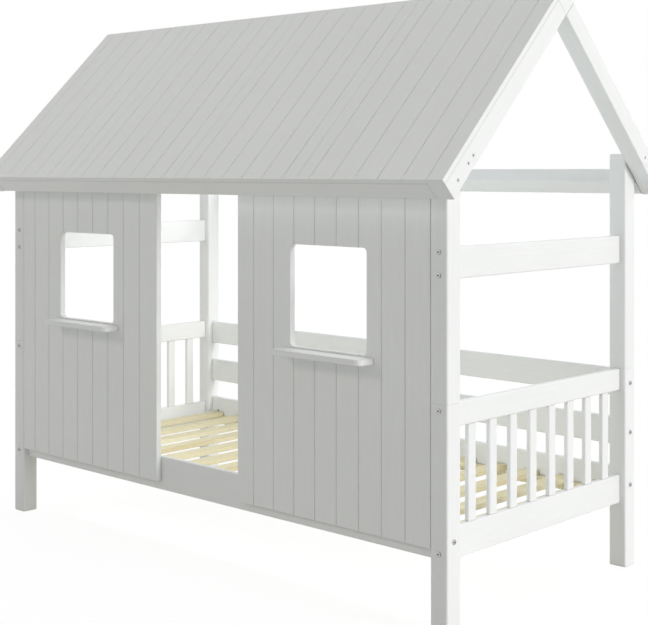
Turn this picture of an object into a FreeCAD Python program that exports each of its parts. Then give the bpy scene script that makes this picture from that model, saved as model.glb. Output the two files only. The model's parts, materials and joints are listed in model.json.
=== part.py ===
import FreeCAD, Part
import math
import os
from FreeCAD import Vector

# A child's bed in the form of a small house. A post-and-rail frame carries the slats, a clad
# front wall with a doorway and two windows, and a 45-degree roof boarded on its front slope.
# Millimetres. X runs along the bed, -Y is the front and Z is up. The origin is on the floor,
# under the middle of the whole.

# ---- Frame ----
inside_length = 2000.0          # between the end rails, the mattress's length
inside_width = 910.0            # between the side rails, the mattress's width and some room
post_size = 60.0                # square posts
rail_thickness = 20.0           # every rail and guard board
post_height = 1340.0            # floor to the flat top of the upper posts
lower_post_height = 644.0       # floor to the joint of the two halves of a post
post_edge_round = 5.0
post_end_bevel = 3.0            # at the foot and the top
joint_bevel = 1.2               # where post halves meet and roof beams meet rafters
board_edge_round = 4.0
edge_flats = 2                  # flats that make up the quarter round of a long edge
corner_flats = 3                # and of a window's or a shelf's corner

# ---- Rails ----
bottom_rail_low = 207.0         # end rail under the spindles
bottom_rail_height = 92.0
top_rail_height = 70.0          # end rail over the spindles
top_rail_below_joint = 1.0
upper_rail_height = 90.0        # end rail in the upper posts
upper_rail_top = 1075.0
side_rail_low = 208.0
side_rail_height = 112.0
guard_board_height = 90.0       # two boards along the back
guard_below_joint = 4.0

# ---- Spindles at both ends ----
spindle_count = 8
spindle_width = 35.0
spindle_thickness = 15.0
spindle_bevel = 2.5
tenon_length = 12.0
tenon_side_shoulder = 5.0
tenon_face_shoulder = 3.0
mortise_clearance = 0.2
mortise_spare_depth = 1.0

# ---- Slats and their supports ----
slat_count = 15
slat_width = 55.0
slat_thickness = 16.0
slat_below_rail_top = 60.0
slat_end_clearance = 2.0
support_width = 20.0            # strip along each side rail
support_height = 30.0
support_bevel = 2.0
support_end_clearance = 0.5

# ---- Front wall ----
doorway_width = 400.0
panel_side_gap = 0.5            # to the post
panel_above_rail_low = 32.0     # its foot, over the side rail's lower edge
panel_below_post_top = 40.0
panel_first_groove = 90.0       # from the panel's right edge
panel_groove_pitch = 88.0
panel_least_margin = 40.0       # to the left edge
front_top_rail_height = 70.0
groove_width = 4.0
groove_depth = 3.0
board_seam_bevel = 1.5          # face edges of wall panels and roof boards
window_size = 311.0
window_low = 752.0
window_corner_round = 13.0
shelf_overhang = 26.5           # past the window on each side
shelf_depth = 60.0
shelf_thickness = 18.0
shelf_below_window = 5.0
shelf_corner_round = 20.0
shelf_bevel = 1.5

# ---- Roof ----
roof_timber = 60.0              # square rafters, ridge beam and eave beams
roof_board_thickness = 15.0
roof_panel_count = 4
roof_groove_pitch = 87.5
eave_post_gap = 2.0             # eave beam to the post's outer face
post_roof_gap = 0.4             # post's top edge to the roof boards

# ---- Fasteners ----
bolt_radius = 3.0
bolt_head_radius = 7.0
bolt_head_height = 3.0
bolt_past_nut_middle = 4.0
bolt_hole_clearance = 0.3
nut_radius = 5.0                # barrel nuts in the rails
nut_length = 14.0
nut_from_rail_end = 39.0
thread_clearance = 0.05
snug_clearance = 0.2            # round nuts, dowels and screws
hole_spare_depth = 1.0
bottom_rail_bolt_rise = 24.0    # over the bottom rail's lower edge
top_rail_bolt_drop = 18.5       # under the top rail's upper edge
upper_rail_bolt_inset = 13.0    # from both edges of the upper rail
dowel_radius = 5.0
dowel_length = 60.0
post_dowel_offset = 14.0        # from the post's centre, both ways
rail_dowel_offset = 18.0        # from the front top rail's centre line
wood_screw = {"radius": 2.0, "head": 4.0, "sink": 2.0, "length": 30.0}
board_screw = {"radius": 2.5, "head": 5.0, "sink": 2.5, "length": 70.0}
rafter_screw = {"radius": 3.0, "head": 6.0, "sink": 3.0, "length": 100.0}
rafter_screw_inset = 38.0       # the upper foot screw, in from the post's outer face
rafter_screw_drop = 12.0        # and under the post's top
rafter_screw_pitch = 31.0
eave_screw_inset = 13.0         # from the eave beam's upper side
ridge_screw_spread = {-1: 20.0, 1: 8.0}
board_screw_offset = 150.0      # from the middle of a roof panel
panel_screw_offset = 300.0      # from the middle of a wall panel
panel_screw_drop = 20.0         # under the side rail's upper edge
shelf_screw_offset = 130.0
support_screw_pitches = (-5.5, -1.5, 1.5, 5.5)   # in slat pitches from the middle
hidden_sides = 4                # shanks, dowels, small screws and all their holes
shown_sides = 6                 # barrel nuts and rafter screws
head_sides = 8                  # bolt heads

# ---- Worked out from the above ----
root_two = math.sqrt(2.0)
half_length = (inside_length + rail_thickness + post_size) / 2
half_width = (inside_width + rail_thickness + post_size) / 2
end_line = half_length - post_size / 2          # centre line of the end rails
side_line = half_width - post_size / 2          # centre line of the side rails
between_posts = half_length - post_size
across_posts = half_width - post_size
rail_half = rail_thickness / 2
side_rail_top = side_rail_low + side_rail_height
top_rail_top = lower_post_height - top_rail_below_joint
guard_top = lower_post_height - guard_below_joint
guard_middle = (side_rail_top + guard_top - guard_board_height) / 2
slat_top = side_rail_top - slat_below_rail_top
slat_pitch = inside_length / slat_count
support_top = slat_top - slat_thickness
support_line = inside_width / 2 - support_width / 2
wall_back = -(side_line + rail_half)
wall_face = -half_width                         # flush with the posts
panel_thickness = wall_back - wall_face
panel_low = side_rail_low + panel_above_rail_low
panel_top = post_height - panel_below_post_top
panel_outer = between_posts - panel_side_gap
panel_inner = doorway_width / 2
panel_width = panel_outer - panel_inner
panel_middle = (panel_outer + panel_inner) / 2
front_top_rail_middle = panel_top - front_top_rail_height / 2
shelf_top = window_low - shelf_below_window
roof_apex = post_height - post_end_bevel + root_two * post_roof_gap + half_width
roof_end = half_length + roof_timber
slope_length = root_two * (half_width + eave_post_gap) + 2 * roof_timber
roof_panel_width = 2 * roof_end / roof_panel_count

X_AXIS = Vector(1, 0, 0)
Y_AXIS = Vector(0, 1, 0)
Z_AXIS = Vector(0, 0, 1)
AXES = (X_AXIS, Y_AXIS, Z_AXIS)
SIDE_NAMES = {-1: "left", 1: "right"}
FACE_NAMES = {-1: "front", 1: "back"}

pieces = {}
fasteners = {"frame_bolts": [], "barrel_nuts": [], "dowels": [], "rafter_screws": [],
             "roof_board_screws": [], "wood_screws": []}
holes = []


# ---- Plain forms ----
def box(low, high):
    """Block between two opposite corners."""
    size = high - low
    return Part.makeBox(size.x, size.y, size.z, low)


def rounded_outline(low, high, radii, flats):
    """Outline of a rectangle between two (across, up) corners, each corner a quarter round.

    The radii start at the corner of both high values and go anticlockwise; 0 leaves it square.
    """
    turns = ((high[0], high[1], -1, -1), (low[0], high[1], 1, -1),
             (low[0], low[1], 1, 1), (high[0], low[1], -1, 1))
    outline = []
    for quarter, (across, up, across_in, up_in) in enumerate(turns):
        radius = radii[quarter]
        middle = (across + across_in * radius, up + up_in * radius)
        for step in range(flats + 1 if radius else 1):
            angle = math.pi / 2 * (quarter + step / flats)
            outline.append((middle[0] + radius * math.cos(angle),
                            middle[1] + radius * math.sin(angle)))
    return outline


def extruded(outline, axis, start, end):
    """Solid of an outline, drawn out along axis 0, 1 or 2; the outline gives the other two."""
    points = []
    for pair in outline + outline[:1]:
        values = list(pair)
        values.insert(axis, start)
        points.append(Vector(*values))
    return Part.Face(Part.makePolygon(points)).extrude(AXES[axis] * (end - start))


def end_edges(shape, axis, place):
    """Edges in the plane that crosses an axis at a place."""
    return [edge for edge in shape.Edges
            if all(abs(vertex.Point[axis] - place) < 1e-4 for vertex in edge.Vertexes)]


def timber(low, high, axis, edge_round, flats):
    """Straight square-ended timber with rounded long edges."""
    across = [index for index in (0, 1, 2) if index != axis]
    outline = rounded_outline([low[index] for index in across],
                              [high[index] for index in across], [edge_round] * 4, flats)
    return extruded(outline, axis, low[axis], high[axis])


def board(low, high, axis):
    """Rail, guard board or roof timber."""
    return timber(low, high, axis, board_edge_round, edge_flats)


def batten(low, high, axis, bevel):
    """Small timber with bevelled long edges."""
    return timber(low, high, axis, bevel, 1)


def rod(start, along, outline, sides):
    """Many-sided rod about a straight line, from (distance, radius) pairs."""
    turn = FreeCAD.Rotation(Z_AXIS, along)
    rings = []
    for distance, radius in outline:
        ring = []
        for corner in range(sides):
            angle = 2 * math.pi * (corner + 0.5) / sides
            point = Vector(radius * math.cos(angle), radius * math.sin(angle), distance)
            ring.append(start + turn.multVec(point))
        rings.append(ring + ring[:1])
    faces = [rings[0][::-1], rings[-1]]
    for near, far in zip(rings, rings[1:]):
        for corner in range(sides):
            faces.append([near[corner], near[corner + 1], far[corner + 1], far[corner],
                          near[corner]])
    shell = Part.makeShell([Part.Face(Part.makePolygon(face)) for face in faces])
    return Part.makeSolid(shell)


def bore(start, along, radius, depth, sides):
    """Straight many-sided hole, its corners on the given radius."""
    return rod(start, along, [(0, radius), (depth, radius)], sides)


def slope_point(reach, height):
    """Distance down a roof slope, and out from it, of a point by its reach from the ridge."""
    down = (reach + roof_apex - height) / root_two
    out = (reach + height - roof_apex) / root_two
    return down, out


def on_slope(shape, face):
    """Lay a shape drawn as (x, down the slope, out from it) on the front or back slope."""
    laid = shape.copy()
    laid.rotate(Vector(0, 0, 0), X_AXIS, -45)
    laid.translate(Vector(0, 0, roof_apex))
    if face < 0:
        laid = laid.mirror(Vector(0, 0, 0), Y_AXIS)
    return laid


# ---- Fasteners, each with the holes that it needs ----
def add_bolt(seat, inward, nut_way, nut_depth):
    """Bolt through a post into a rail's end, with the barrel nut that it screws into.

    The nut goes in along nut_way, from a face of the rail at nut_depth from the bolt.
    """
    nut_middle = seat + inward * (post_size + nut_from_rail_end)
    length = post_size + nut_from_rail_end + bolt_past_nut_middle
    shank = rod(seat, inward, [(0, bolt_radius), (length, bolt_radius)], hidden_sides)
    head = rod(seat, inward, [(-bolt_head_height, bolt_head_radius), (0, bolt_head_radius)],
               head_sides)
    fasteners["frame_bolts"].append(head.fuse(shank))
    holes.append(bore(seat, inward, bolt_radius + bolt_hole_clearance,
                      length, hidden_sides))

    nut_start = nut_middle - nut_way * (nut_length / 2)
    nut = rod(nut_start, nut_way, [(0, nut_radius), (nut_length, nut_radius)], shown_sides)
    thread = bore(nut_middle - inward * nut_radius, inward, bolt_radius + thread_clearance,
                  nut_radius + bolt_past_nut_middle, hidden_sides)
    fasteners["barrel_nuts"].append(nut.cut(thread))
    holes.append(bore(nut_middle - nut_way * nut_depth, nut_way, nut_radius + snug_clearance,
                      nut_depth + nut_length / 2, shown_sides))


def add_dowel(middle, along):
    """Dowel across a joint, half in each piece."""
    outline = [(-dowel_length / 2, dowel_radius), (dowel_length / 2, dowel_radius)]
    fasteners["dowels"].append(rod(middle, along, outline, hidden_sides))
    start = middle - along * (dowel_length / 2 + hole_spare_depth)
    holes.append(bore(start, along, dowel_radius + snug_clearance,
                      dowel_length + 2 * hole_spare_depth, hidden_sides))


def screw_and_hole(seat, inward, size, sides):
    """Countersunk screw, flush with its seat, and its hole."""
    reach = size["length"]
    outline = [(0, size["head"]), (size["sink"], size["radius"]), (reach, size["radius"] / 2)]
    body = rod(seat, inward, outline, sides)
    hole_outline = [(0, size["head"] + snug_clearance),
                    (size["sink"], size["radius"] + snug_clearance),
                    (reach + hole_spare_depth, size["radius"] + snug_clearance)]
    return body, rod(seat, inward, hole_outline, sides)


def add_wood_screw(seat, inward):
    """Short screw through one board into the next."""
    body, hole = screw_and_hole(seat, inward, wood_screw, hidden_sides)
    fasteners["wood_screws"].append(body)
    holes.append(hole)


def add_slope_screw(group, face, seat, inward, size, sides):
    """Screw in the roof, placed as (x, down the slope, out from it)."""
    body, hole = screw_and_hole(seat, inward, size, sides)
    fasteners[group].append(on_slope(body, face))
    holes.append(on_slope(hole, face))


# ---- Posts ----
def make_posts():
    """Four posts, each in a lower and an upper half joined by dowels."""
    for side in (-1, 1):
        for face in (-1, 1):
            outer = Vector(side * half_length, face * half_width, 0)
            inner = Vector(side * between_posts, face * across_posts, 0)
            low = Vector(min(outer.x, inner.x), min(outer.y, inner.y), 0)
            corner = Vector(low.x + post_size, low.y + post_size, 0)
            name = FACE_NAMES[face] + "_" + SIDE_NAMES[side]
            joint = Z_AXIS * lower_post_height
            lower = half_post(low, corner + joint)
            lower = lower.makeChamfer(post_end_bevel, end_edges(lower, 2, 0))
            pieces["lower_post_" + name] = lower.makeChamfer(
                joint_bevel, end_edges(lower, 2, lower_post_height))
            upper = half_post(low + joint, corner + Z_AXIS * post_height)
            pieces["upper_post_" + name] = upper.makeChamfer(
                post_end_bevel, end_edges(upper, 2, post_height))
            for turn in (-1, 1):
                offset = post_dowel_offset * turn
                middle = Vector(side * end_line + side * offset,
                                face * side_line + face * offset, lower_post_height)
                add_dowel(middle, Z_AXIS)


def half_post(low, high):
    """One half of a post, its ends still square."""
    return timber(low, high, 2, post_edge_round, edge_flats)


# ---- End rails and spindles ----
def make_end(side):
    """Three rails and the spindles of one end, with the bolts that hold the rails."""
    name = SIDE_NAMES[side]
    x_low = side * end_line - rail_half
    x_high = side * end_line + rail_half
    levels = {"bottom": (bottom_rail_low, bottom_rail_low + bottom_rail_height),
              "top": (top_rail_top - top_rail_height, top_rail_top),
              "upper": (upper_rail_top - upper_rail_height, upper_rail_top)}
    for level, (z_low, z_high) in levels.items():
        pieces["end_rail_" + level + "_" + name] = board(Vector(x_low, -across_posts, z_low),
                                                         Vector(x_high, across_posts, z_high),
                                                         1)
    nuts_from_below = ((levels["bottom"][0], bottom_rail_bolt_rise),
                       (levels["top"][0], top_rail_height - top_rail_bolt_drop),
                       (levels["upper"][0], upper_rail_bolt_inset))
    for face in (-1, 1):
        inward = Y_AXIS * -face
        for edge, depth in nuts_from_below:
            seat = Vector(side * end_line, face * half_width, edge + depth)
            add_bolt(seat, inward, Z_AXIS, depth)
        seat = Vector(side * end_line, face * half_width, upper_rail_top - upper_rail_bolt_inset)
        add_bolt(seat, inward, -Z_AXIS, upper_rail_bolt_inset)

    z_low = levels["bottom"][1]
    z_high = levels["top"][0]
    gap = (2 * across_posts - spindle_count * spindle_width) / (spindle_count + 1)
    row = []
    for index in range(spindle_count):
        y = -across_posts + gap + spindle_width / 2 + index * (spindle_width + gap)
        row.append(make_spindle(side * end_line, y, z_low, z_high))
    pieces["spindles_" + name] = Part.makeCompound(row)


def make_spindle(x, y, z_low, z_high):
    """Flat spindle with a tenon at each end, and its two mortises."""
    half = Vector(spindle_thickness / 2, spindle_width / 2, 0)
    blade = batten(Vector(x, y, z_low) - half, Vector(x, y, z_high) + half, 2, spindle_bevel)
    tenon_half = half - Vector(tenon_face_shoulder, tenon_side_shoulder, 0)
    tenon = box(Vector(x, y, z_low - tenon_length) - tenon_half,
                Vector(x, y, z_high + tenon_length) + tenon_half)
    mortise_half = tenon_half + Vector(mortise_clearance, mortise_clearance, 0)
    reach = tenon_length + mortise_spare_depth
    for start, end in ((z_low - reach, z_low), (z_high, z_high + reach)):
        holes.append(box(Vector(x, y, start) - mortise_half, Vector(x, y, end) + mortise_half))
    return blade.fuse(tenon)


# ---- Side rails and guard boards ----
def make_sides():
    """Long rails on both sides and the two guard boards along the back."""
    for face in (-1, 1):
        y = face * side_line
        pieces["side_rail_" + FACE_NAMES[face]] = long_board(y, side_rail_low, side_rail_height)
        add_long_bolts(face, side_rail_low + side_rail_height / 2, Y_AXIS * face)
    levels = {"middle": guard_middle, "top": guard_top - guard_board_height / 2}
    for level, middle in levels.items():
        low = middle - guard_board_height / 2
        pieces["guard_board_" + level] = long_board(side_line, low, guard_board_height)
        add_long_bolts(1, middle, -Y_AXIS)


def long_board(y, low, height):
    """Board between a front or back pair of posts."""
    return board(Vector(-between_posts, y - rail_half, low),
                 Vector(between_posts, y + rail_half, low + height), 0)


def add_long_bolts(face, height, nut_way):
    """One bolt into each end of a long board."""
    for side in (-1, 1):
        seat = Vector(side * half_length, face * side_line, height)
        add_bolt(seat, X_AXIS * -side, nut_way, rail_half)


# ---- Slats ----
def make_slats():
    """Slats across the bed, screwed to a strip along each side rail."""
    slat_half = inside_width / 2 - slat_end_clearance
    for index in range(slat_count):
        x = (index + 0.5 - slat_count / 2) * slat_pitch
        pieces["slat_{:02d}".format(index + 1)] = box(
            Vector(x - slat_width / 2, -slat_half, support_top),
            Vector(x + slat_width / 2, slat_half, slat_top))
        for face in (-1, 1):
            add_wood_screw(Vector(x, face * support_line, slat_top), -Z_AXIS)
    reach = between_posts - support_end_clearance
    for face in (-1, 1):
        y = face * support_line
        pieces["slat_support_" + FACE_NAMES[face]] = batten(
            Vector(-reach, y - support_width / 2, support_top - support_height),
            Vector(reach, y + support_width / 2, support_top), 0, support_bevel)
        inner = face * (inside_width / 2 - support_width)
        for pitches in support_screw_pitches:
            seat = Vector(pitches * slat_pitch, inner, support_top - support_height / 2)
            add_wood_screw(seat, Y_AXIS * face)


# ---- Front wall ----
def grooved_outline(width, thickness, centres):
    """Cross-section (across, out) of a board with V grooves in its face."""
    outline = [(0, 0), (0, thickness - board_seam_bevel), (board_seam_bevel, thickness)]
    for centre in centres:
        outline.append((centre - groove_width / 2, thickness))
        outline.append((centre, thickness - groove_depth))
        outline.append((centre + groove_width / 2, thickness))
    outline.append((width - board_seam_bevel, thickness))
    outline.append((width, thickness - board_seam_bevel))
    outline.append((width, 0))
    return outline


def make_wall(side):
    """Grooved panel with a window, and the shelf under the window."""
    right_edge = panel_outer if side > 0 else -panel_inner
    room = panel_width - panel_first_groove - panel_least_margin
    count = int(room / panel_groove_pitch) + 1
    centres = [panel_first_groove + index * panel_groove_pitch for index in range(count)]
    outline = grooved_outline(panel_width, panel_thickness, centres)
    outline = [(right_edge - across, wall_back - out) for across, out in outline]
    panel = extruded(outline, 2, panel_low, panel_top)

    middle = side * panel_middle
    window_half = window_size / 2
    opening = rounded_outline((middle - window_half, window_low),
                              (middle + window_half, window_low + window_size),
                              [window_corner_round] * 4, corner_flats)
    window = extruded(opening, 1, wall_face - groove_depth, wall_back + groove_depth)
    pieces["wall_panel_" + SIDE_NAMES[side]] = panel.cut(window)
    pieces["window_shelf_" + SIDE_NAMES[side]] = make_shelf(middle)

    for offset in (-panel_screw_offset, panel_screw_offset):
        for height in (side_rail_top - panel_screw_drop, front_top_rail_middle):
            seat = Vector(middle + offset, wall_back + rail_thickness, height)
            add_wood_screw(seat, -Y_AXIS)
    for offset in (-shelf_screw_offset, shelf_screw_offset):
        seat = Vector(middle + offset, wall_back, shelf_top - shelf_thickness / 2)
        add_wood_screw(seat, -Y_AXIS)


def make_shelf(middle):
    """Sill shelf with rounded front corners and bevelled edges."""
    half = window_size / 2 + shelf_overhang
    shelf_low = shelf_top - shelf_thickness
    radii = (0, 0, shelf_corner_round, shelf_corner_round)
    outline = rounded_outline((middle - half, wall_face - shelf_depth),
                              (middle + half, wall_face), radii, corner_flats)
    shelf = extruded(outline, 2, shelf_low, shelf_top)
    rim = end_edges(shelf, 2, shelf_low) + end_edges(shelf, 2, shelf_top)
    at_wall = [edge.hashCode() for edge in end_edges(shelf, 1, wall_face)]
    return shelf.makeChamfer(shelf_bevel, [edge for edge in rim
                                           if edge.hashCode() not in at_wall])


def make_front_top_rail():
    """Rail behind the tops of the wall panels, dowelled into the front posts."""
    pieces["front_top_rail"] = long_board(-side_line, panel_top - front_top_rail_height,
                                          front_top_rail_height)
    for side in (-1, 1):
        for offset in (-rail_dowel_offset, rail_dowel_offset):
            middle = Vector(side * between_posts, -side_line, front_top_rail_middle + offset)
            add_dowel(middle, X_AXIS)


# ---- Roof ----
def make_roof():
    """Ridge beam, rafters on the outer faces of the posts, eave beams between the rafters."""
    pieces["ridge_beam"] = on_slope(beam(roof_end, 0), -1)
    for face in (-1, 1):
        eave = beam(half_length, slope_length - roof_timber)
        pieces["eave_beam_" + FACE_NAMES[face]] = on_slope(eave, face)
        for side in (-1, 1):
            make_rafter(face, side)
    make_roof_boards()


def beam(reach, down):
    """Roof beam from end to end with bevelled ends, its upper side a distance down the slope."""
    shape = board(Vector(-reach, down, -roof_timber), Vector(reach, down + roof_timber, 0), 0)
    ends = end_edges(shape, 0, -reach) + end_edges(shape, 0, reach)
    return shape.makeChamfer(joint_bevel, ends)


def make_rafter(face, side):
    """Rafter from the ridge beam past a post to the eave, with its screws."""
    x_low = half_length if side > 0 else -roof_end
    rafter = board(Vector(x_low, roof_timber, -roof_timber),
                   Vector(x_low + roof_timber, slope_length, 0), 1)
    name = FACE_NAMES[face] + "_" + SIDE_NAMES[side]
    pieces["rafter_" + name] = on_slope(rafter, face)

    down, out = slope_point(half_width - rafter_screw_inset, post_height - rafter_screw_drop)
    eave_place = slope_length - roof_timber + eave_screw_inset
    for place in (down, down + rafter_screw_pitch, eave_place):
        add_slope_screw("rafter_screws", face, Vector(side * roof_end, place, out),
                        X_AXIS * -side, rafter_screw, shown_sides)
    spread = ridge_screw_spread[face]
    for offset in (-spread, spread):
        seat = Vector(x_low + roof_timber / 2 + offset, 0, -roof_timber / 2)
        add_slope_screw("rafter_screws", face, seat, Y_AXIS, rafter_screw, shown_sides)


def make_roof_boards():
    """Grooved panels side by side on the front slope, screwed through the beams."""
    count = int(roof_panel_width / roof_groove_pitch)
    margin = (roof_panel_width - (count - 1) * roof_groove_pitch) / 2
    centres = [margin + index * roof_groove_pitch for index in range(count)]
    outline = grooved_outline(roof_panel_width, roof_board_thickness, centres)
    for index in range(roof_panel_count):
        left = -roof_end + index * roof_panel_width
        laid_outline = [(left + across, out) for across, out in outline]
        panel = extruded(laid_outline, 1, 0, slope_length)
        pieces["roof_panel_{}".format(index + 1)] = on_slope(panel, -1)
        for offset in (-board_screw_offset, board_screw_offset):
            for place in (roof_timber / 2, slope_length - roof_timber / 2):
                seat = Vector(left + roof_panel_width / 2 + offset, place, -roof_timber)
                add_slope_screw("roof_board_screws", -1, seat, Z_AXIS, board_screw,
                                hidden_sides)


# ---- Finishing and saving ----
def drilled(piece):
    """Cut every hole that passes into this piece."""
    tools = []
    for hole in holes:
        if piece.BoundBox.intersect(hole.BoundBox) and piece.common(hole).Volume > 1:
            tools.append(hole)
    return piece.cut(tools) if tools else piece


def save_all():
    """Write each piece with the whole centred over the origin."""
    os.makedirs("parts", exist_ok=True)
    finished = {name: drilled(piece) for name, piece in pieces.items()}
    for name, group in fasteners.items():
        finished[name] = Part.makeCompound(group)
    whole = Part.makeCompound(list(finished.values()))
    shift = Vector(0, -whole.BoundBox.Center.y, 0)
    for name, shape in finished.items():
        shape.translate(shift)
        shape.exportStep("parts/" + name + ".step")


make_posts()
for end_side in (-1, 1):
    make_end(end_side)
make_sides()
make_slats()
for wall_side in (-1, 1):
    make_wall(wall_side)
make_front_top_rail()
make_roof()
save_all()
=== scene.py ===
import json
import math

import bmesh
import bpy
import numpy as np
from mathutils import Matrix, Vector


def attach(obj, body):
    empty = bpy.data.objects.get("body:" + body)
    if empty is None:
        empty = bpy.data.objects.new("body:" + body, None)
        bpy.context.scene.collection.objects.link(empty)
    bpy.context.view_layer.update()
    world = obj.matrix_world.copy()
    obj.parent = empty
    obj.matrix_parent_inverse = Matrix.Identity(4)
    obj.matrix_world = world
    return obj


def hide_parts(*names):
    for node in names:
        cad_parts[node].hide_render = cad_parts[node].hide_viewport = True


# The looks of a child's house-shaped bed: painted and bare wood, steel fasteners with their
# real heads, a pale floor, soft light, and the camera of the reference view. Lengths are in
# metres. The bed's front faces -Y and its right end +X.

MM = 0.001
WHITE = (1.0, 1.0, 1.0)
NO_STRETCH = (1.0, 1.0, 1.0)

# ---- Camera of the reference view ----
IMAGE_WIDTH = 648
IMAGE_HEIGHT = 625
SENSOR_WIDTH = 36.0                       # millimetres
CAMERA_PLACE = (3.3094, -3.3847, 1.2856)
CAMERA_HEADING = math.radians(43.353)     # turned to the left of straight back
FOCAL_PIXELS = 1339.8                     # focal length over the image's pixel size
HORIZON_ROW = 170.8                       # image row of the horizon, from the top

# ---- Light ----
SKY_COLOUR = (0.975, 1.0, 0.995)
SKY_EVEN = 0.42                           # strength from every side
SKY_BACK = 2.1                            # more strength from behind the bed
SKY_BACK_WAY = (-0.35, 0.94, 0.0)
SKY_BACK_FADE = 2.0                       # power by which it fades to the sides
SUNS = {
    "side_sun": {"from": (1.0, 0.08, 0.28), "strength": 1.74, "angle": 18, "colour": WHITE},
    "front_sun": {"from": (-0.55, -0.75, 0.52), "strength": 0.34, "angle": 14,
                  "colour": (1.0, 0.98, 0.88)},
}
LAMPS = {
    # Inside the bed, toward its back boards
    "inner_lamp": {"place": (0.10, -0.445, 0.84), "toward": (0.0, 1.0, 0.0),
                   "size": (1.75, 0.94), "watts": 2.12, "colour": (0.77, 0.89, 1.0)},
    # Toward the timbers of the open back slope of the roof
    "roof_lamp": {"place": (0.30, -0.25, 1.18), "toward": (0.0, 1.0, 1.3),
                  "size": (1.3, 0.30), "watts": 1.35, "colour": (0.80, 0.91, 1.0)},
    # Under the slats, toward the back side rail and the back posts' feet
    "floor_lamp": {"place": (0.10, -0.40, 0.11), "toward": (0.0, 1.0, 0.0),
                   "size": (1.9, 0.16), "watts": 1.0, "colour": (0.90, 0.96, 1.0)},
    # Under the front eave, toward the tops of the wall panels
    "eave_lamp_left": {"place": (-0.60, -0.532, 1.203), "toward": (0.0, 1.0, -1.0),
                       "size": (0.78, 0.02), "watts": 0.009, "colour": (0.93, 1.0, 1.0)},
    "eave_lamp_right": {"place": (0.52, -0.532, 1.203), "toward": (0.0, 1.0, -1.0),
                        "size": (1.0, 0.02), "watts": 0.042, "colour": (0.93, 1.0, 1.0)},
}

# ---- Floor ----
FLOOR_HALF_SIZE = 40.0
FLOOR_COLOUR = (0.64, 0.64, 0.625)        # what lights the bed from below
FLOOR_ROUGHNESS = 0.9
FLOOR_GLOW = 1.03                         # strength of the white that the camera sees
FLOOR_SHADOW_SHARE = 0.12                 # a lit white floor's share in it, for the shadow

# ---- What all materials share ----
NOISE_MIDDLE = (0.3, 0.7)                 # noise stays mostly between these
BEVEL_SAMPLES = 4
# Painted shade: ambient occlusion darkens base colours in seams, grooves and sockets
PAINTED_SHADE_SAMPLES = 8
PAINTED_SHADE_REACH = 6 * MM
PAINTED_SHADE_OPENNESS = (0.35, 0.95)            # from a closed corner to an open face
MIX_SOCKETS = {"FLOAT": (2, 3, 0), "RGBA": (6, 7, 2)}    # first, second and result

# Turns that lay the grain's direction along X
ROOF_SLOPE = math.radians(45)
ALONG_Y = -math.pi / 2
GRAIN_TURNS = {
    "x": (0.0, 0.0, 0.0),
    "y": (0.0, 0.0, ALONG_Y),
    "z": (0.0, math.pi / 2, 0.0),
    "front_slope": (-ROOF_SLOPE, 0.0, ALONG_Y),
    "back_slope": (ROOF_SLOPE, 0.0, ALONG_Y),
}

# ---- Paint: colours are linear, and bumps are (strength, height) ----
PAINT_LIGHT = (0.856, 0.857, 0.853)
PAINT_DARK = (0.826, 0.827, 0.822)
PAINT_TONES = ((0.36, PAINT_DARK), (0.62, PAINT_LIGHT))
PAINT_STRETCH = (1.4, 22.0, 22.0)         # along and across the grain
PAINT_STREAKS = {"Scale": 6.0, "Detail": 5.0, "Roughness": 0.55, "Distortion": 0.25}
PAINT_CLOUDS = {"Scale": 2.2, "Detail": 2.0}
PAINT_CLOUD_SHARE = 0.45                  # the streaks have the rest
PAINT_PEEL = {"Scale": 420.0, "Detail": 2.0}
PAINT_GRAIN_BUMP = (0.10, 0.4 * MM)
PAINT_PEEL_BUMP = (0.05, 0.15 * MM)
PAINT_ROUGHNESS = (0.40, 0.52)
PAINT_SPECULAR = 0.35
# How dark the painted shade in a seam or groove gets, and how softly an edge is rounded, by
# kind of piece
PAINT_KINDS = {
    "wall": {"painted_shade_darkest": 0.92, "edge": 1.6 * MM},
    "roof": {"painted_shade_darkest": 0.95, "edge": 1.6 * MM},
    "timber": {"painted_shade_darkest": 0.62, "edge": 1.6 * MM},
    "beam": {"painted_shade_darkest": 0.28, "edge": 1.2 * MM},
    "spindle": {"painted_shade_darkest": 0.62, "edge": 0.6 * MM},
    "post": {"painted_shade_darkest": 0.92, "edge": 1.6 * MM},
}
# The grain's direction and the kind of piece, by how a node's name starts
PAINTED = {
    "roof_panel": ("front_slope", "roof"),
    "wall_panel": ("z", "wall"),
    "rafter_front": ("front_slope", "beam"),
    "rafter_back": ("back_slope", "beam"),
    "ridge_beam": ("x", "beam"),
    "eave_beam": ("x", "beam"),
    "end_rail": ("y", "timber"),
    "spindles": ("z", "spindle"),
    "lower_post": ("z", "post"),
    "upper_post": ("z", "post"),
    "": ("x", "timber"),                  # any other board
}
# Bare wood in the photo, though the record's slot is white_paint
BARE_NODES = ("slat_support_front", "slat_support_back")

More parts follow.
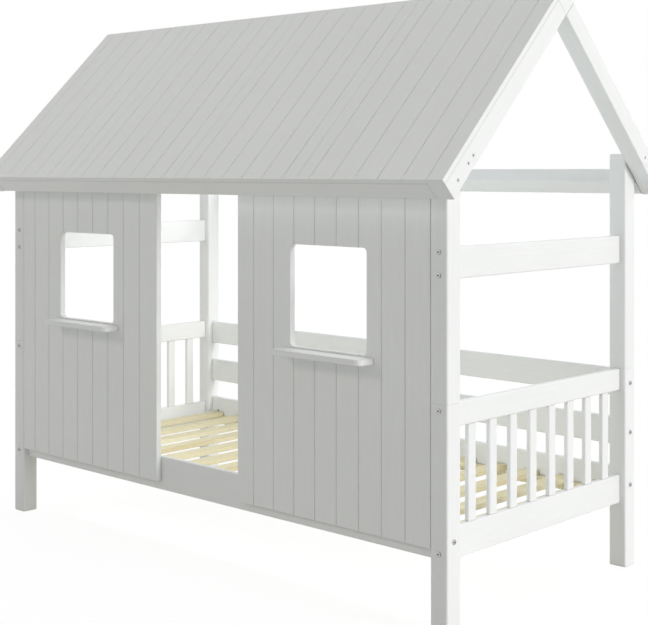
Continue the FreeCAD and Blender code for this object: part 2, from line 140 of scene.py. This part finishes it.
# ---- Bare wood ----
PINE_LIGHT = (0.830, 0.765, 0.550)
PINE_MIDDLE = (0.790, 0.705, 0.475)
PINE_DARK = (0.670, 0.560, 0.330)
PINE_KNOT = (0.450, 0.300, 0.150)
PINE_TONES = ((0.18, PINE_DARK), (0.42, PINE_MIDDLE), (0.72, PINE_LIGHT))
PINE_STRETCH = (1.1, 16.0, 9.0)
PINE_PORE_STRETCH = (9.0, 260.0, 260.0)
PINE_BROAD = {"Scale": 1.7, "Detail": 2.0, "Distortion": 0.6}
PINE_PORES = {"Scale": 1.0, "Detail": 4.0, "Roughness": 0.6}
PINE_RINGS = {"Scale": 1.15, "Distortion": 5.0, "Detail": 3.0, "Detail_Scale": 0.8}
PINE_RING_SHARE = 0.42
PINE_PORE_SHARE = 0.18
PINE_KNOT_SCALE = 0.55
PINE_KNOT_EDGE = (0.04, 0.13)             # reach of a knot's heart and of its rim
PINE_KNOT_FADE = (0.75, 0.0)              # share of the knot's colour at each
PINE_ROUGHNESS = (0.55, 0.68)
PINE_SPECULAR = 0.3
PINE_EDGE = 2.5 * MM
PINE_BUMP = (0.12, 0.3 * MM)
BEECH_LIGHT = (0.640, 0.470, 0.300)
BEECH_DARK = (0.512, 0.376, 0.240)
BEECH_TONES = ((0.35, BEECH_DARK), (0.65, BEECH_LIGHT))
BEECH_STRETCH = (3.0, 120.0, 120.0)
BEECH_FLECKS = {"Scale": 2.0, "Detail": 4.0}
BEECH_ROUGHNESS = (0.55, 0.7)

# ---- Steel: grey levels, and how dark the painted shade in a socket gets ----
STEELS = {
    "bolt": {"dark": 0.42, "light": 0.56, "painted_shade_darkest": 0.06},
    "screw": {"dark": 0.62, "light": 0.80, "painted_shade_darkest": 0.15},
}
STEEL_TONE_PLACES = (0.35, 0.65)
STEEL_MOTTLE = {"Scale": 700.0, "Detail": 3.0}
STEEL_ROUGHNESS = (0.28, 0.42)
STEEL_BUMP = (0.05, 0.05 * MM)

# ---- Fasteners ----
SAME_PLACE = 1e-6                         # vertices nearer than this are one
END_SLACK = 1e-5                          # vertices this near an end lie on it
ORDER_DIGITS = 4                          # digits of a place that put fasteners in order
HEAD_SHARE = 0.9                          # beyond this share of the radius, it is the head
SHANK_FROM = 0.5                          # from this share of the length on, it is the shank
# Profiles run along a fastener from its outer end, as pairs of depth and radius. Both are
# shares of the head's radius. Only SCREW_SHANK's depths are shares of the length.
ROUND_SIDES = 32
HEXAGON_STEP = math.pi / 3
SOCKET_RADIUS = 0.36                      # half of the width across flats
SOCKET_DEPTH = 0.55
SOCKET_DEPTH_LIMIT = 0.8                  # of the height of a bolt's head
SCREW_SOCKET_TAPER = 0.85
BOLT_RIM = ((0.0, 0.82), (0.035, 0.92), (0.10, 1.0))
SCREW_HEAD = ((0.0, 0.80), (0.14, 0.94), (0.18, 1.0), (0.60, 0.50))
SCREW_SHANK = ((0.9, 0.40), (1.0, 0.075))
NUT_END = ((0.3, 0.4), (0.0, 0.4), (0.0, 0.9), (0.1, 1.0))

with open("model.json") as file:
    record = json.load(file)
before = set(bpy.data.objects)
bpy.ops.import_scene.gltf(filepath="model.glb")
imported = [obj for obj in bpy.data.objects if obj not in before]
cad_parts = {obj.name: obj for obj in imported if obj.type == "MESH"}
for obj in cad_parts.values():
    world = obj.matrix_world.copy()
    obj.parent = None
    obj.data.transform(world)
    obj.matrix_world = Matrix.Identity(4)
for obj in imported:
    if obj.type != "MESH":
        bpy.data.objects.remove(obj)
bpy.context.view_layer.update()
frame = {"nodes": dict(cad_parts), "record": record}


# ---- Node trees ----
class Graph:
    """The node tree of a material or a world, with short calls for what repeats here."""

    def __init__(self, owner):
        owner.use_nodes = True
        self.owner = owner
        self.nodes = owner.node_tree.nodes
        self.links = owner.node_tree.links

    def add(self, kind, **inputs):
        """A node with its inputs set to values or linked from sockets."""
        node = self.nodes.new(kind)
        self.put_all(node, inputs)
        return node

    def put(self, socket, value):
        if isinstance(value, bpy.types.NodeSocket):
            self.links.new(value, socket)
        else:
            socket.default_value = value

    def put_all(self, node, inputs):
        """Inputs by name, with an underscore for each space."""
        for key, value in inputs.items():
            self.put(node.inputs[key.replace("_", " ")], value)

    def surface(self, **inputs):
        """The inputs of the material's own shader."""
        self.put_all(self.nodes["Principled BSDF"], inputs)

    def grain_space(self, grain="x", stretch=NO_STRETCH):
        """Object coordinates with the grain along local X, and stretched."""
        place = self.add("ShaderNodeTexCoord").outputs["Object"]
        turned_place = self.add("ShaderNodeVectorRotate")
        turned_place.rotation_type = "EULER_XYZ"
        self.put_all(turned_place, {"Vector": place, "Rotation": GRAIN_TURNS[grain]})
        stretched = self.add("ShaderNodeMapping", Vector=turned_place.outputs["Vector"],
                             Scale=stretch)
        return stretched.outputs["Vector"]

    def noise(self, vector, look):
        return self.add("ShaderNodeTexNoise", Vector=vector, **look).outputs["Fac"]

    def arithmetic(self, operation, *values):
        node = self.add("ShaderNodeMath")
        node.operation = operation
        for socket, value in zip(node.inputs, values):
            self.put(socket, value)
        return node.outputs["Value"]

    def mix(self, kind, share, first, second, blend_type="MIX"):
        """Numbers (FLOAT) or colours (RGBA) mixed by the second one's share."""
        node = self.add("ShaderNodeMix")
        node.data_type = kind
        node.blend_type = blend_type
        first_socket, second_socket, result = MIX_SOCKETS[kind]
        self.put(node.inputs[0], share)
        self.put(node.inputs[first_socket], first)
        self.put(node.inputs[second_socket], second)
        return node.outputs[result]

    def mix_shaders(self, share, first, second):
        node = self.add("ShaderNodeMixShader", Fac=share)
        self.put(node.inputs[1], first.outputs[0])
        self.put(node.inputs[2], second.outputs[0])
        return node

    def ramp(self, factor, stops):
        """Colour ramp over (place, colour) stops."""
        node = self.add("ShaderNodeValToRGB", Fac=factor)
        elements = node.color_ramp.elements
        for place, _ in stops[len(elements):]:
            elements.new(place)
        for element, (place, colour) in zip(elements, stops):
            element.position = place
            element.color = (*colour, 1.0)
        return node.outputs["Color"]

    def remap(self, value, source, target):
        """A number that runs over target while value runs over source."""
        node = self.add("ShaderNodeMapRange", Value=value, From_Min=source[0],
                        From_Max=source[1], To_Min=target[0], To_Max=target[1])
        return node.outputs["Result"]

    def painted_shade_in_corners(self, colour, painted_shade_darkest):
        """A colour with painted shade: darker where ambient occlusion finds seams, grooves and
        sockets.
        """
        corner = self.add("ShaderNodeAmbientOcclusion", Distance=PAINTED_SHADE_REACH)
        corner.samples = PAINTED_SHADE_SAMPLES
        shade = self.remap(corner.outputs["AO"], PAINTED_SHADE_OPENNESS, (painted_shade_darkest, 1.0))
        return self.mix("RGBA", 1.0, colour, shade, "MULTIPLY")

    def soft_edges(self, radius):
        """Normals that round sharp edges."""
        node = self.add("ShaderNodeBevel", Radius=radius)
        node.samples = BEVEL_SAMPLES
        return node.outputs["Normal"]

    def bump(self, height, strength, distance, normal=None):
        node = self.add("ShaderNodeBump", Height=height, Strength=strength, Distance=distance)
        if normal is not None:
            self.put(node.inputs["Normal"], normal)
        return node.outputs["Normal"]

    def seen_directly(self):
        """1 for the rays that show what a thing looks like: camera, glossy, transmission."""
        path = self.add("ShaderNodeLightPath")
        total = path.outputs["Is Camera Ray"]
        for name in ("Is Glossy Ray", "Is Transmission Ray"):
            total = self.arithmetic("MAXIMUM", total, path.outputs[name])
        return total


# ---- Materials ----
def new_material(name):
    return Graph(bpy.data.materials.new(name))


def white_paint(grain, kind):
    """Satin white paint over wood whose grain just shows."""
    graph = new_material("white_paint_" + grain + "_" + kind)
    even = graph.grain_space()
    streaks = graph.noise(graph.grain_space(grain, PAINT_STRETCH), PAINT_STREAKS)
    tone = graph.arithmetic("MULTIPLY_ADD", graph.noise(even, PAINT_CLOUDS), PAINT_CLOUD_SHARE,
                            graph.arithmetic("MULTIPLY", streaks, 1.0 - PAINT_CLOUD_SHARE))
    grained = graph.bump(streaks, *PAINT_GRAIN_BUMP,
                         graph.soft_edges(PAINT_KINDS[kind]["edge"]))
    graph.surface(
        # Base colour with painted shade in seams and grooves
        Base_Color=graph.painted_shade_in_corners(graph.ramp(tone, PAINT_TONES),
                                           PAINT_KINDS[kind]["painted_shade_darkest"]),
        Roughness=graph.remap(streaks, NOISE_MIDDLE, PAINT_ROUGHNESS),
        Specular_IOR_Level=PAINT_SPECULAR,
        Normal=graph.bump(graph.noise(even, PAINT_PEEL), *PAINT_PEEL_BUMP, grained))
    return graph.owner


def pine():
    """Bare planed pine, its grain along the slats, with a few knots."""
    graph = new_material("pine")
    wood = graph.grain_space("y", PINE_STRETCH)
    pores = graph.noise(graph.grain_space("y", PINE_PORE_STRETCH), PINE_PORES)
    rings = graph.add("ShaderNodeTexWave", Vector=wood, **PINE_RINGS)
    rings.bands_direction = "Y"
    tone = graph.mix("FLOAT", PINE_RING_SHARE, graph.noise(wood, PINE_BROAD),
                     rings.outputs["Fac"])
    tone = graph.mix("FLOAT", PINE_PORE_SHARE, tone, pores)
    knots = graph.add("ShaderNodeTexVoronoi", Vector=wood, Scale=PINE_KNOT_SCALE)
    knot_share = graph.remap(knots.outputs["Distance"], PINE_KNOT_EDGE, PINE_KNOT_FADE)
    graph.surface(
        Base_Color=graph.mix("RGBA", knot_share, graph.ramp(tone, PINE_TONES),
                             (*PINE_KNOT, 1.0)),
        Roughness=graph.remap(pores, NOISE_MIDDLE, PINE_ROUGHNESS),
        Specular_IOR_Level=PINE_SPECULAR,
        Normal=graph.bump(pores, *PINE_BUMP, graph.soft_edges(PINE_EDGE)))
    return graph.owner


def beech():
    """Bare beech of the hidden dowels."""
    graph = new_material("beech")
    flecks = graph.noise(graph.grain_space("z", BEECH_STRETCH), BEECH_FLECKS)
    graph.surface(Base_Color=graph.ramp(flecks, BEECH_TONES),
                  Roughness=graph.remap(flecks, NOISE_MIDDLE, BEECH_ROUGHNESS))
    return graph.owner


def steel(name):
    """Zinc-plated steel, slightly uneven, with painted shade that darkens its sockets."""
    graph = new_material("steel_" + name)
    look = STEELS[name]
    mottle = graph.noise(graph.grain_space(), STEEL_MOTTLE)
    tones = tuple((place, (look[tone],) * 3)
                  for place, tone in zip(STEEL_TONE_PLACES, ("dark", "light")))
    # Base colour with painted shade in the sockets
    graph.surface(Base_Color=graph.painted_shade_in_corners(graph.ramp(mottle, tones),
                                                     look["painted_shade_darkest"]),
                  Metallic=1.0,
                  Roughness=graph.remap(mottle, NOISE_MIDDLE, STEEL_ROUGHNESS),
                  Normal=graph.bump(mottle, *STEEL_BUMP))
    return graph.owner


# ---- Dressing the CAD nodes ----
def dress_nodes(bare):
    """Give every CAD node its material: the bare one of its slot, or else white paint."""
    slots = {part["node"]: part["material_slot"] for part in frame["record"]["subparts"]}
    paints = {}
    for name, node in frame["nodes"].items():
        material = bare.get("pine" if name in BARE_NODES else slots[name])
        if material is None:
            paint = next(look for start, look in PAINTED.items() if name.startswith(start))
            if paint not in paints:
                paints[paint] = white_paint(*paint)
            material = paints[paint]
        if not node.material_slots:
            node.data.materials.append(material)
        for slot in node.material_slots:
            slot.material = material


# ---- Fasteners with their real heads ----
def new_object(name, data):
    """An object in the scene."""
    piece = bpy.data.objects.new(name, data)
    bpy.context.scene.collection.objects.link(piece)
    return piece


def loose_parts(node):
    """Vertex places of each separate solid of a node, all in a fixed order."""
    mesh = bmesh.new()
    mesh.from_mesh(node.data)
    bmesh.ops.remove_doubles(mesh, verts=mesh.verts, dist=SAME_PLACE)
    left = set(mesh.verts)
    parts = []
    while left:
        found = {left.pop()}
        edge_of_search = list(found)
        while edge_of_search:
            vertex = edge_of_search.pop()
            for edge in vertex.link_edges:
                other = edge.other_vert(vertex)
                if other in left:
                    left.remove(other)
                    found.add(other)
                    edge_of_search.append(other)
        parts.append(np.array(sorted(vertex.co[:] for vertex in found)))
    mesh.free()
    return sorted(parts, key=lambda part: tuple(np.round(part.mean(axis=0), ORDER_DIGITS)))


def farthest(part, middle, direction, along, chosen):
    """Largest distance of the chosen vertices from the fastener's line."""
    away = part[chosen] - middle - np.outer(along[chosen], direction)
    return np.linalg.norm(away, axis=1).max() if len(away) else 0.0


def measure(part):
    """A fastener's head end, its direction and its main sizes, from its vertices."""
    middle = (part.min(axis=0) + part.max(axis=0)) / 2
    direction = np.linalg.svd(part - part.mean(axis=0))[2][0]
    along = (part - middle) @ direction
    line = (part, middle, direction, along)
    if farthest(*line, along < 0) < farthest(*line, along > 0):
        along = -along
    ends = [part[np.abs(along - end) < END_SLACK].mean(axis=0)
            for end in (along.min(), along.max())]
    direction = (ends[1] - ends[0]) / np.linalg.norm(ends[1] - ends[0])
    along = (part - ends[0]) @ direction
    radius = np.linalg.norm(part - ends[0] - np.outer(along, direction), axis=1)
    wide = radius > HEAD_SHARE * radius.max()
    far = along > SHANK_FROM * along.max() - SAME_PLACE
    return {"start": Vector(ends[0]), "way": Vector(direction), "length": float(along.max()),
            "head": float(radius.max()), "head_height": float(along[wide].max()),
            "shank": float(radius[far].min())}


def ring(mesh, seat, depth, radius, hexagon):
    """Circle of vertices, or a hexagon of as many vertices."""
    vertices = []
    for index in range(ROUND_SIDES):
        angle = 2 * math.pi * index / ROUND_SIDES
        reach = radius
        if hexagon:
            reach = radius / math.cos(angle % HEXAGON_STEP - HEXAGON_STEP / 2)
        place = Vector((reach * math.cos(angle), reach * math.sin(angle), depth))
        vertices.append(mesh.verts.new(seat @ place))
    return vertices


def turned(mesh, start, way, rings):
    """Closed form about a line from (depth, radius, hexagon) rings, first to last."""
    seat = Matrix.Translation(start) @ way.to_track_quat("Z", "Y").to_matrix().to_4x4()
    loops = [ring(mesh, seat, *values) for values in rings]
    mesh.faces.new(loops[0][::-1])
    mesh.faces.new(loops[-1])
    for near, far in zip(loops, loops[1:]):
        for index in range(ROUND_SIDES):
            after = (index + 1) % ROUND_SIDES
            mesh.faces.new((near[index], near[after], far[after], far[index]))


def round_rings(profile, depth_unit, radius_unit):
    return [(depth * depth_unit, radius * radius_unit, False) for depth, radius in profile]


def bolt_rings(size):
    """Low round head on the surface, hexagon socket, plain shank."""
    head, height, shank = size["head"], size["head_height"], size["shank"]
    socket = SOCKET_RADIUS * head
    floor = min(SOCKET_DEPTH * head, SOCKET_DEPTH_LIMIT * height)
    return [(floor, socket, True), (0.0, socket, True), *round_rings(BOLT_RIM, head, head),
            (height, head, False), (height, shank, False), (size["length"], shank, False)]


def screw_rings(size):
    """Flush countersunk head with a hexagon socket and a pointed shank."""
    head = size["head"]
    socket = SOCKET_RADIUS * head
    return [(SOCKET_DEPTH * head, SCREW_SOCKET_TAPER * socket, True), (0.0, socket, True),
            *round_rings(SCREW_HEAD, head, head),
            *round_rings(SCREW_SHANK, size["length"], head)]


def nut_rings(size):
    """Barrel nut with bevelled rims and a round dimple in each end."""
    near = round_rings(NUT_END, size["head"], size["head"])
    return near + [(size["length"] - depth, radius, hexagon)
                   for depth, radius, hexagon in reversed(near)]


def detailed(node_name, rings_of, material):
    """One piece that stands for a fastener node, each fastener on its own CAD place."""
    mesh = bmesh.new()
    for part in loose_parts(frame["nodes"][node_name]):
        size = measure(part)
        turned(mesh, size["start"], size["way"], rings_of(size))
    bmesh.ops.recalc_face_normals(mesh, faces=mesh.faces)
    data = bpy.data.meshes.new(node_name + "_detail")
    mesh.to_mesh(data)
    mesh.free()
    data.materials.append(material)
    piece = new_object(node_name + "_detail", data)
    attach(piece, "root")
    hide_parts(node_name)


# ---- Floor, light and camera ----
def make_floor():
    """Wide pale floor that looks white and keeps a faint shadow."""
    data = bpy.data.meshes.new("floor")
    size = FLOOR_HALF_SIZE
    data.from_pydata([(-size, -size, 0), (size, -size, 0), (size, size, 0), (-size, size, 0)],
                     [], [(0, 1, 2, 3)])
    floor = new_object("floor", data)
    graph = new_material("floor")
    graph.surface(Base_Color=(*FLOOR_COLOUR, 1.0), Roughness=FLOOR_ROUGHNESS,
                  Specular_IOR_Level=0.0)
    glow = graph.add("ShaderNodeEmission", Color=(*WHITE, 1.0), Strength=FLOOR_GLOW)
    lit = graph.add("ShaderNodeBsdfDiffuse", Color=(*WHITE, 1.0))
    shown = graph.mix_shaders(FLOOR_SHADOW_SHARE, glow, lit)
    choice = graph.mix_shaders(graph.seen_directly(), graph.nodes["Principled BSDF"], shown)
    graph.put(graph.nodes["Material Output"].inputs["Surface"], choice.outputs[0])
    data.materials.append(graph.owner)


def make_sky():
    """Sky that lights the bed most from behind, and looks white."""
    world = bpy.data.worlds.new("sky")
    bpy.context.scene.world = world
    graph = Graph(world)
    backness = graph.add("ShaderNodeVectorMath")
    backness.operation = "DOT_PRODUCT"
    graph.put(backness.inputs[0], graph.add("ShaderNodeTexCoord").outputs["Generated"])
    graph.put(backness.inputs[1], Vector(SKY_BACK_WAY).normalized())
    from_behind = graph.arithmetic("MAXIMUM", backness.outputs["Value"], 0.0)
    faded = graph.arithmetic("POWER", from_behind, SKY_BACK_FADE)
    light = graph.nodes["Background"]
    graph.put_all(light, {
        "Color": (*SKY_COLOUR, 1.0),
        "Strength": graph.arithmetic("MULTIPLY_ADD", faded, SKY_BACK, SKY_EVEN)})
    white = graph.add("ShaderNodeBackground", Color=(*WHITE, 1.0), Strength=1.0)
    choice = graph.mix_shaders(graph.seen_directly(), light, white)
    graph.put(graph.nodes["World Output"].inputs["Surface"], choice.outputs[0])


def make_light(name, kind, strength, colour):
    """A light and its object."""
    light = bpy.data.lights.new(name, kind)
    light.energy = strength
    light.color = colour
    return light, new_object(name, light)


def make_sun(name, settings):
    """Soft light from one direction."""
    light, piece = make_light(name, "SUN", settings["strength"], settings["colour"])
    light.angle = math.radians(settings["angle"])
    piece.rotation_euler = Vector(settings["from"]).to_track_quat("Z", "Y").to_euler()


def make_lamp(name, settings):
    """Soft lamp that the camera doesn't see."""
    light, piece = make_light(name, "AREA", settings["watts"], settings["colour"])
    light.shape = "RECTANGLE"
    light.size, light.size_y = settings["size"]
    piece.location = settings["place"]
    piece.rotation_euler = Vector(settings["toward"]).to_track_quat("-Z", "Y").to_euler()
    piece.visible_camera = False


def make_camera():
    """Camera of the reference view, level, with a shift for its high horizon."""
    data = bpy.data.cameras.new("camera")
    data.sensor_width = SENSOR_WIDTH
    data.lens = FOCAL_PIXELS / IMAGE_WIDTH * SENSOR_WIDTH
    data.shift_y = (HORIZON_ROW - IMAGE_HEIGHT / 2) / IMAGE_WIDTH
    camera = new_object("camera", data)
    camera.location = CAMERA_PLACE
    camera.rotation_euler = (math.pi / 2, 0.0, CAMERA_HEADING)
    bpy.context.scene.camera = camera


bpy.context.scene.view_settings.view_transform = "Standard"
bolt_steel = steel("bolt")
screw_steel = steel("screw")
dress_nodes({"pine": pine(), "beech": beech(), "steel": bolt_steel})
detailed("frame_bolts", bolt_rings, bolt_steel)
for screws in ("rafter_screws", "roof_board_screws", "wood_screws"):
    detailed(screws, screw_rings, screw_steel)
detailed("barrel_nuts", nut_rings, screw_steel)
make_floor()
make_sky()
for sun_name, sun_settings in SUNS.items():
    make_sun(sun_name, sun_settings)
for lamp_name, lamp_settings in LAMPS.items():
    make_lamp(lamp_name, lamp_settings)
make_camera()
